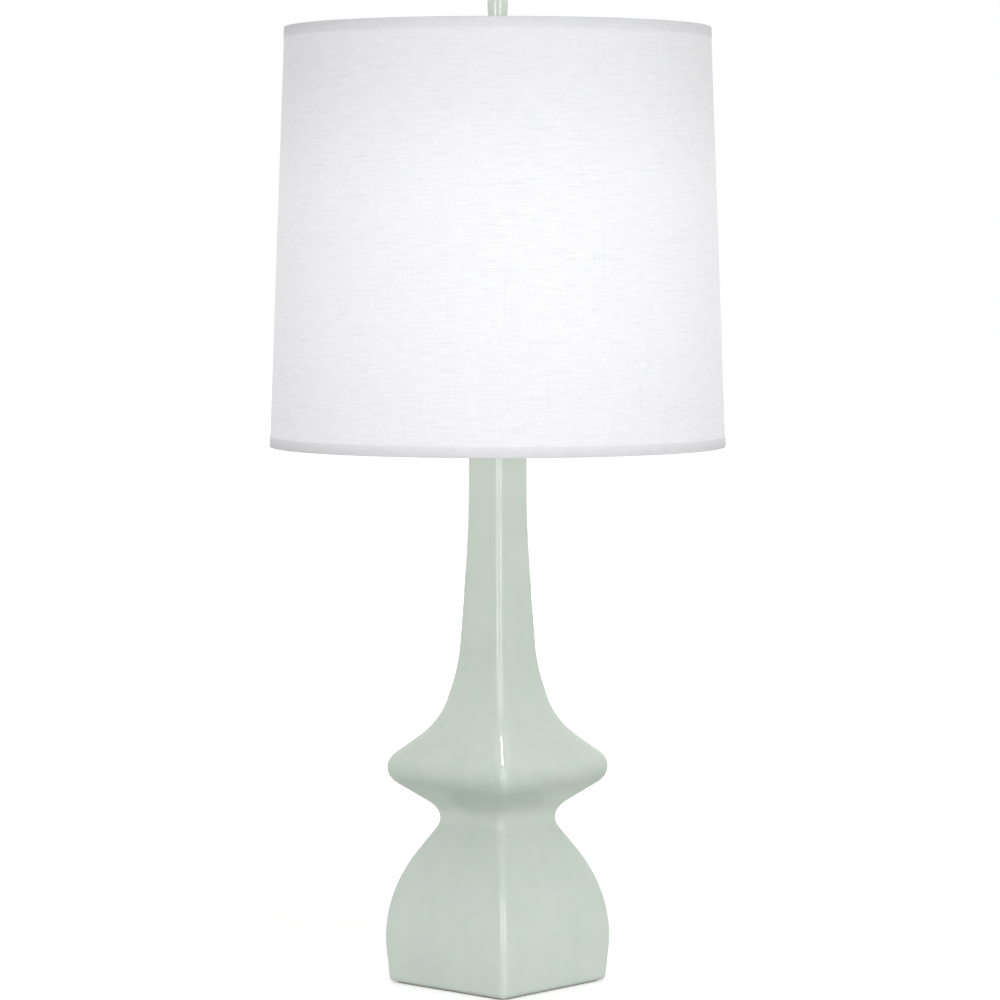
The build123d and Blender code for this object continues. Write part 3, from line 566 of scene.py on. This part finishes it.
def flat_panel(tree, size, width, length):
    """A strip of cloth lying flat, with its under side at height 0."""
    grid = {
        "Size": combined(tree, width, length, size["Thickness"]),
        "Vertices X": size["Columns"], "Vertices Y": size["Rows"], "Vertices Z": 2,
    }
    panel = node(tree, "GeometryNodeMeshCube", grid).outputs["Mesh"]
    half_up = combined(tree, z=maths(tree, "MULTIPLY", size["Thickness"], 0.5))
    return node(tree, "GeometryNodeTransform", {"Geometry": panel, "Translation": half_up}).outputs[0]


def flat_slubs(tree, size, width, length):
    """Thick places in the yarn, strewn over the flat strip, most along the bowed weft, some up the warp."""

    def chance(low, high, draw):
        """A random number for each slub."""
        seed = maths(tree, "ADD", size["Seed"], draw)
        return node(tree, "FunctionNodeRandomValue", {2: low, 3: high, "Seed": seed}).outputs[1]

    inside = maths(tree, "SUBTRACT", width, size["Slub Length"])
    ground = {"Size X": inside, "Size Y": length, "Vertices X": 2, "Vertices Y": 2}
    ground = node(tree, "GeometryNodeMeshGrid", ground).outputs["Mesh"]
    strewn = {"Mesh": ground, "Density": size["Slub Density"], "Seed": size["Seed"]}
    spots = node(tree, "GeometryNodeDistributePointsOnFaces", strewn).outputs["Points"]
    bead = {"Segments": 6, "Rings": 5, "Radius": 0.5}
    yarn = node(tree, "GeometryNodeMeshUVSphere", bead).outputs["Mesh"]

    across = split(tree, node(tree, "GeometryNodeInputPosition").outputs[0])[0]
    bowed = maths(tree, "MULTIPLY", maths(tree, "MULTIPLY", across, 2), size["Bow"])
    upright = maths(tree, "MULTIPLY", maths(tree, "LESS_THAN", chance(0, 1, 1), slubs_upright), pi / 2)
    lean = maths(tree, "ADD", upright, chance(-slub_lean, slub_lean, 2))
    lean = maths(tree, "SUBTRACT", lean, bowed)
    thick = maths(tree, "MULTIPLY", size["Slub Width"], chance(slub_thinnest, 1.0, 3))
    drawn_out = maths(tree, "POWER", chance(slub_shortest, 1.0, 4), 2)
    long = maths(tree, "MULTIPLY", size["Slub Length"], drawn_out)
    bulk = combined(tree, long, thick, maths(tree, "MULTIPLY", thick, slub_flatness))

    slubs = {"Points": spots, "Instance": yarn, "Rotation": combined(tree, z=lean), "Scale": bulk}
    slubs = node(tree, "GeometryNodeInstanceOnPoints", slubs).outputs[0]
    slubs = node(tree, "GeometryNodeRealizeInstances", {"Geometry": slubs}).outputs[0]
    on_top = {"Geometry": slubs, "Translation": combined(tree, z=size["Thickness"])}
    slubs = node(tree, "GeometryNodeTransform", on_top).outputs[0]
    mark = {"Geometry": slubs, "Name": "slub", "Value": 1.0}
    return node(tree, "GeometryNodeStoreNamedAttribute", mark).outputs[0]


def rolled_up(tree, size, cloth, section, length):
    """Flat cloth laid along its section and rolled into a hoop, with one end lifted over the other."""
    across, up, off = split(tree, node(tree, "GeometryNodeInputPosition").outputs[0])
    along = maths(tree, "ADD", up, maths(tree, "MULTIPLY", length, 0.5))
    at = node(tree, "GeometryNodeSampleCurve", {"Curves": section, "Length": along}, mode="LENGTH").outputs
    path, run = split(tree, at["Position"]), split(tree, at["Tangent"])

    lap_start = maths(tree, "MULTIPLY", maths(tree, "SUBTRACT", size["Girth"], size["Lap"]), 0.5)
    before = maths(tree, "SUBTRACT", lap_start, maths(tree, "MULTIPLY", size["Lap"], 0.5))
    lifted = maths(tree, "MULTIPLY", size["Thickness"], lap_lift_in_thicknesses)
    proud = maths(tree, "ADD", off, ease(tree, across, before, lap_start, 0, lifted))
    radius = maths(tree, "MULTIPLY_ADD", run[2], proud, path[0])
    level = maths(tree, "SUBTRACT", path[2], maths(tree, "MULTIPLY", run[0], proud))

    turn = maths(tree, "DIVIDE", across, maths(tree, "DIVIDE", size["Girth"], 2 * pi))
    turn = maths(tree, "ADD", turn, maths(tree, "ADD", size["Seam Angle"], pi))
    x = maths(tree, "MULTIPLY", radius, maths(tree, "COSINE", turn))
    y = maths(tree, "MULTIPLY", radius, maths(tree, "SINE", turn))
    hoop = {"Geometry": cloth, "Position": combined(tree, x, y, level)}
    return node(tree, "GeometryNodeSetPosition", hoop).outputs[0]


def rolled_cloth(fold_steps=5, crisp_angle=1.2):
    """A tree that folds a strip of cloth along a section and rolls it into a hoop, with its ends lapped."""
    tree = bpy.data.node_groups.new("rolled_cloth", "GeometryNodeTree")
    inputs = {
        "Section": "Geometry", "Fold Radius": "Float", "Thickness": "Float", "Girth": "Float",
        "Lap": "Float", "Seam Angle": "Float", "Columns": "Int", "Rows": "Int", "Slub Density": "Float",
        "Slub Length": "Float", "Slub Width": "Float", "Seed": "Int", "Bow": "Float", "Finish": "Material",
    }
    for label, kind in inputs.items():
        tree.interface.new_socket(label, in_out="INPUT", socket_type="NodeSocket" + kind)
    tree.interface.new_socket("Cloth", in_out="OUTPUT", socket_type="NodeSocketGeometry")
    size = node(tree, "NodeGroupInput").outputs

    section = node(tree, "GeometryNodeMeshToCurve", {"Mesh": size["Section"]}).outputs[0]
    folds = {"Curve": section, "Count": fold_steps, "Radius": size["Fold Radius"], "Limit Radius": True}
    section = node(tree, "GeometryNodeFilletCurve", folds, mode="POLY").outputs[0]
    length = node(tree, "GeometryNodeCurveLength", {"Curve": section}).outputs[0]
    width = maths(tree, "ADD", size["Girth"], size["Lap"])

    cloth = node(tree, "GeometryNodeJoinGeometry")
    tree.links.new(flat_panel(tree, size, width, length), cloth.inputs[0])
    tree.links.new(flat_slubs(tree, size, width, length), cloth.inputs[0])
    flat_place = node(tree, "GeometryNodeInputPosition").outputs[0]
    chart = {"Geometry": cloth.outputs[0], "Name": "UVMap", "Value": flat_place}
    chart = node(tree, "GeometryNodeStoreNamedAttribute", chart, data_type="FLOAT2", domain="CORNER")
    cloth = rolled_up(tree, size, chart.outputs[0], section, length)

    cloth = node(tree, "GeometryNodeSetShadeSmooth", {0: cloth}).outputs[0]
    bend = node(tree, "GeometryNodeInputMeshEdgeAngle").outputs["Unsigned Angle"]
    crisp = {0: cloth, 1: maths(tree, "GREATER_THAN", bend, crisp_angle), 2: False}
    cloth = node(tree, "GeometryNodeSetShadeSmooth", crisp, domain="EDGE").outputs[0]
    cloth = node(tree, "GeometryNodeRealizeInstances", {"Geometry": cloth}).outputs[0]
    finished = {"Geometry": cloth, "Material": size["Finish"]}
    cloth = node(tree, "GeometryNodeSetMaterial", finished).outputs[0]
    node(tree, "NodeGroupOutput", {"Cloth": cloth})
    return tree


def shaped(tree, section, sizes):
    """The plain mesh that a tree makes of named sizes and a section, in points of radius and height."""
    line = bpy.data.meshes.new("section")
    line.from_pydata([(r, 0, z) for r, z in section], [(i, i + 1) for i in range(len(section) - 1)], [])
    draft = bpy.data.objects.new("draft", line)
    bpy.context.scene.collection.objects.link(draft)
    modifier = draft.modifiers.new("shape", "NODES")
    modifier.node_group = tree
    for item in tree.interface.items_tree:
        if item.name in sizes:
            modifier[item.identifier] = sizes[item.name]
    made = draft.evaluated_get(bpy.context.evaluated_depsgraph_get())
    mesh = bpy.data.meshes.new_from_object(made)
    bpy.data.objects.remove(draft)
    return mesh


def woven(name, pitch, bow, pale, deep):
    """Plain cloth of uneven yarn: its material, tree, shader, height, weave from 0 to 1, and flat place."""
    material, tree, shader, place = new_finish(name)
    flat = split(tree, node(tree, "ShaderNodeUVMap", uv_map="UVMap").outputs[0])
    across = maths(tree, "MULTIPLY_ADD", maths(tree, "MULTIPLY", flat[0], flat[1]), -2 * bow, flat[0])
    up = maths(tree, "MULTIPLY_ADD", maths(tree, "MULTIPLY", flat[0], flat[0]), bow, flat[1])
    straight = combined(tree, across, up)
    weft = cloudy(tree, straight, pitch * weft_width, (weft_length, 1, 1), detail=3)
    warp = cloudy(tree, straight, pitch * warp_width, (1, warp_length, 1), detail=3)
    nubs = cloudy(tree, straight, pitch * nub_width, (nub_length, 1, 1), detail=2)
    yarn = maths(tree, "MULTIPLY_ADD", weft, weft_share, maths(tree, "MULTIPLY", warp, warp_share))
    yarn = maths(tree, "MULTIPLY_ADD", nubs, nub_share, yarn)
    weave = spread(tree, yarn, window=(0.34, 0.66))
    over = maths(tree, "SINE", maths(tree, "MULTIPLY", across, pi / pitch))
    under = maths(tree, "SINE", maths(tree, "MULTIPLY", up, pi / pitch))
    knots = maths(tree, "ABSOLUTE", maths(tree, "MULTIPLY", over, under))
    feed(tree, shader, base_color=mixed(tree, weave, pale, deep), roughness=0.9)
    feed(tree, shader, sheen_weight=0.12, sheen_roughness=0.5)
    feed(tree, shader, normal=relief(tree, knots, knot_depth, relief(tree, yarn, yarn_depth)))
    return material, tree, shader, split(tree, place)[2], weave, flat


drum_radii = radius_at("shade_fabric", drum_low), radius_at("shade_fabric", drum_high)
cloth_girth = pi * sum(drum_radii)
cloth_slant = hypot(drum_high - drum_low, drum_radii[1] - drum_radii[0])
cloth_bow = (drum_radii[0] - drum_radii[1]) / (cloth_slant * sum(drum_radii))

linen, tree, shader, height, weave, flat = woven(
    "lit_linen", cloth_pitch, cloth_bow, linen_pale, linen_deep
)
slub = node(tree, "ShaderNodeAttribute", attribute_name="slub").outputs["Fac"]
lap_start = (cloth_girth - cloth_lap) / 2
# Painted glow of the bulb's light through the cloth
glow = ease(tree, height, drum_low, full_low, low_glow, full_glow)
glow = maths(tree, "MULTIPLY", glow, ease(tree, height, full_high, drum_high, 1, top_share))
through = ease(tree, weave, 0, 1, thin_through, thick_through)
past_slub = maths(tree, "SUBTRACT", 1, maths(tree, "MULTIPLY", slub, slub_stops))
past_lap = ease(tree, flat[0], lap_start, lap_start + lap_edge, 1, lap_through)
through = maths(tree, "MULTIPLY", maths(tree, "MULTIPLY", through, past_slub), past_lap)
feed(tree, shader, emission_color=lit_white, emission_strength=maths(tree, "MULTIPLY", glow, through))

hoop = rolled_cloth()
cloth_mesh = shaped(
    hoop,
    [(drum_radii[0] - cloth_thickness, drum_low), (drum_radii[1] - cloth_thickness, drum_high)],
    {
        "Fold Radius": 0.0, "Thickness": cloth_thickness, "Girth": cloth_girth, "Lap": cloth_lap,
        "Seam Angle": seam_angle, "Columns": cloth_columns, "Rows": cloth_rows, "Bow": cloth_bow,
        "Slub Density": slub_density, "Slub Length": slub_length, "Slub Width": slub_width,
        "Seed": slub_seed, "Finish": linen,
    },
)
cloth_piece = add_piece("shade_cloth", cloth_mesh, linen, "shade")
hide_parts("shade_fabric")


# Edge tapes: a finer woven tape is glued round each edge of the shade, folded over it and its wire ring,
# and turned in against the lining. It stops most of the light, so each edge shows as a darker band; the
# little light through it is painted on as a glow, none at the folded edge and less on the top tape.
tape_thickness = 0.0003
tape_gap = 0.00005
tape_lap = 0.012
tape_pitch = 0.0004
tape_leg = 0.0078
tape_fold = 0.0006
tape_columns, tape_rows = 260, 56
tape_seam_step = radians(7)
tape_pale = screen(227, 227, 229)
tape_deep = screen(221, 221, 223)
tape_glow, tape_top_share = 0.085, 0.45


def wall(height):
    """The cloth's outer radius at a height."""
    share = (height - drum_low) / (drum_high - drum_low)
    return drum_radii[0] + share * (drum_radii[1] - drum_radii[0])


def add_tape(name, trim, ring, edge, seam):
    """A tape folded over an edge of the shade, from its outer side over the ring to the lining."""
    low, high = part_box(trim)
    ring_low, ring_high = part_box(ring)
    wire = ring_high[2] - ring_low[2]
    inner = ring_high[0] - wire - tape_gap
    lining = radius_at("shade_liner", edge, min) - tape_gap
    if edge == drum_high:
        outer_end, over, ring_end = edge - tape_leg, edge + tape_gap, ring_low[2]
        inner_end = edge - (high[2] - low[2]) + wire / 2
    else:
        outer_end, over, ring_end = edge + tape_leg, edge - tape_gap, ring_high[2]
        inner_end = edge + (high[2] - low[2]) - wire / 2
    section = [
        (wall(outer_end) + tape_gap, outer_end),
        (wall(edge) + tape_gap, over),
        (inner, over),
        (inner, ring_end),
        (lining, inner_end),
    ]
    if edge == drum_low:
        section.reverse()
    girth = 2 * pi * wall(edge)
    mesh = shaped(
        hoop,
        section,
        {
            "Fold Radius": tape_fold, "Thickness": tape_thickness, "Girth": girth, "Lap": tape_lap,
            "Seam Angle": seam, "Columns": tape_columns, "Rows": tape_rows, "Bow": 0.0,
            "Slub Density": 0.0, "Finish": tape,
        },
    )
    piece = add_piece(name, mesh, tape, "shade")
    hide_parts(trim)


tape, tree, shader, height = woven("edge_tape", tape_pitch, 0.0, tape_pale, tape_deep)[:4]
off_top = maths(tree, "SUBTRACT", drum_high, height)
off_bottom = maths(tree, "SUBTRACT", height, drum_low)
# Painted glow of the light through the tape: none at the folded edge, less on the top tape
glow = ease(tree, maths(tree, "MINIMUM", off_top, off_bottom), 0, tape_leg, 0, tape_glow)
glow = maths(tree, "MULTIPLY", glow, ease(tree, height, drum_low, drum_high, 1, tape_top_share))
feed(tree, shader, emission_color=lit_white, emission_strength=glow)
add_tape("top_tape", "shade_top_trim", "shade_top_ring", drum_high, seam_angle + tape_seam_step)
add_tape("bottom_tape", "shade_bottom_trim", "shade_bottom_ring", drum_low, seam_angle - tape_seam_step)


# Finial: a small turned knob of the same celadon ware, glued over a tapped brass insert that screws onto
# the stud. Its colour is painted paler all over and palest round its upper edge, where the glaze thins,
# standing in for light on it. The glaze is fullest round its foot.
finial_low, finial_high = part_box("finial")
finial_edge_depths = 0.03, 0.001
finial_pale_and_light = 0.6, 0.85
finial_foot_height, finial_pool = 0.01, 0.3
finial_rim_heights = 0.0004, 0.0001


def pale_edge_and_painted_light(tree, place):
    """Some all over the finial and most round its upper edge, where the glaze thins: painted light."""
    ends = [finial_high[2] - depth for depth in finial_edge_depths]
    return ease(tree, split(tree, place)[2], *ends, *finial_pale_and_light)


def round_foot(tree, place):
    """Most round the foot of the finial."""
    foot_top = finial_low[2] + finial_foot_height
    return ease(tree, split(tree, place)[2], finial_low[2], foot_top, finial_pool, 0)


def under_finial(tree, place):
    """1 on the rim that the finial stands on."""
    ends = [finial_low[2] + height for height in finial_rim_heights]
    return ease(tree, split(tree, place)[2], *ends)


dress(celadon("celadon_finial", pale_edge_and_painted_light, round_foot, under_finial), "finial")
dress(brass_turned, "finial_insert")


# Photograph's view: the camera stands about 3.2 m away at the height of the shade, and looks a little down
# at the lamp's corner. World and floor are white to it, and the floor keeps the lamp's soft shadow. Wide
# boxes light the lamp, the glaze mirrors two narrow strips, and the bulb's light falls on the body.
view_azimuth = radians(42)
view_distance = 3.1707
view_height = 0.5805
view_pitch = radians(3.634)
view_right = 0.0018
lens_length = 146.55
sensor_width = 36.0
far_clip = 50

camera = bpy.data.objects.new("camera", bpy.data.cameras.new("camera"))
camera.data.lens = lens_length
camera.data.sensor_width = sensor_width
camera.data.clip_end = far_clip
camera.location = (
    view_distance * sin(view_azimuth) + view_right * cos(view_azimuth),
    -view_distance * cos(view_azimuth) + view_right * sin(view_azimuth),
    view_height,
)
camera.rotation_euler = (pi / 2 - view_pitch, 0, view_azimuth)
bpy.context.scene.collection.objects.link(camera)
bpy.context.scene.camera = camera
bpy.context.scene.view_settings.view_transform = "Standard"


def seen_rays(tree):
    """1 for rays that show the surroundings: straight to the camera, mirrored, or through glass."""
    path = node(tree, "ShaderNodeLightPath").outputs
    shown = maths(tree, "MAXIMUM", path["Is Camera Ray"], path["Is Glossy Ray"])
    return maths(tree, "MAXIMUM", shown, path["Is Transmission Ray"])


room_light = 0.64
lamp_middle = 0.4
bulb_disc = 0.11
bulb_cone = radians(50)
world = bpy.data.worlds.new("studio")
bpy.context.scene.world = world
world.use_nodes = True
tree = world.node_tree
room = ease(tree, seen_rays(tree), 0, 1, room_light, 1)
feed(tree, tree.nodes["Background"], color=(1, 1, 1, 1), strength=room)


def area_light(name, power, mirrored, place, turn=(0, 0, 0), **settings):
    """A light out of the camera's sight. A mirrored one shows in the glaze, any other lights the lamp."""
    light = bpy.data.objects.new(name, bpy.data.lights.new(name, "AREA"))
    light.data.energy = power
    for setting, value in settings.items():
        setattr(light.data, setting, value)
    light.location = place
    light.rotation_euler = turn
    light.visible_camera = False
    light.visible_diffuse = not mirrored
    light.visible_glossy = mirrored
    bpy.context.scene.collection.objects.link(light)


def softbox(name, azimuth, elevation, distance, width, height, power, mirrored=False):
    """A soft light that faces the middle of the lamp, at an azimuth measured as the camera's."""
    a, e = radians(azimuth), radians(elevation)
    place = (distance * sin(a) * cos(e), -distance * cos(a) * cos(e), lamp_middle + distance * sin(e))
    turn = (pi / 2 - e, 0, a)
    area_light(name, power, mirrored, place, turn, shape="RECTANGLE", size=width, size_y=height)


softbox("left_box", azimuth=18, elevation=0, distance=2.6, width=1.0, height=0.78, power=11.5)
softbox("right_box", azimuth=68, elevation=0, distance=2.6, width=1.0, height=0.78, power=12.5)
softbox("far_fill", azimuth=112, elevation=8, distance=3.0, width=1.8, height=1.6, power=5)
softbox("top_box", azimuth=60, elevation=55, distance=2.5, width=1.2, height=1.2, power=6)
softbox("back_box", azimuth=222, elevation=5, distance=3.5, width=1.0, height=1.4, power=28)
for name, azimuth in (("left_strip", 12), ("right_strip", 72)):
    softbox(name, azimuth, elevation=11, distance=2.6, width=0.5, height=1.75, power=27, mirrored=True)

for name, power, mirrored in (("bulb_glare", 0.25, True), ("bulb_spill", 0.078, False)):
    place = (0, 0, bulb_middle)
    area_light(name, power, mirrored, place, shape="DISK", size=bulb_disc, spread=bulb_cone)

floor_half = 15.0
floor_near, floor_far = 0.3, 1.3
floor_lift, floor_fade = 0.42, 0.64
paper_white = 0.78, 0.78, 0.78, 1
floor = bpy.data.objects.new("floor", bpy.data.meshes.new("floor"))
floor_corners = [(x * floor_half, y * floor_half, 0) for x, y in ((-1, -1), (1, -1), (1, 1), (-1, 1))]
floor.data.from_pydata(floor_corners, [], [(0, 1, 2, 3)])
paper = bpy.data.materials.new("white_paper")
paper.use_nodes = True
tree = paper.node_tree
matt = node(tree, "ShaderNodeBsdfDiffuse", {"Color": paper_white})
place = node(tree, "ShaderNodeTexCoord").outputs["Object"]
away = node(tree, "ShaderNodeVectorMath", {0: place}, operation="LENGTH").outputs["Value"]
lift = ease(tree, away, floor_near, floor_far, floor_lift, floor_fade)
lift = node(tree, "ShaderNodeEmission", {"Strength": maths(tree, "MULTIPLY", seen_rays(tree), lift)})
both = node(tree, "ShaderNodeAddShader", {0: matt.outputs[0], 1: lift.outputs[0]})
tree.links.new(both.outputs[0], tree.nodes["Material Output"].inputs["Surface"])
floor.data.materials.append(paper)
bpy.context.scene.collection.objects.link(floor)
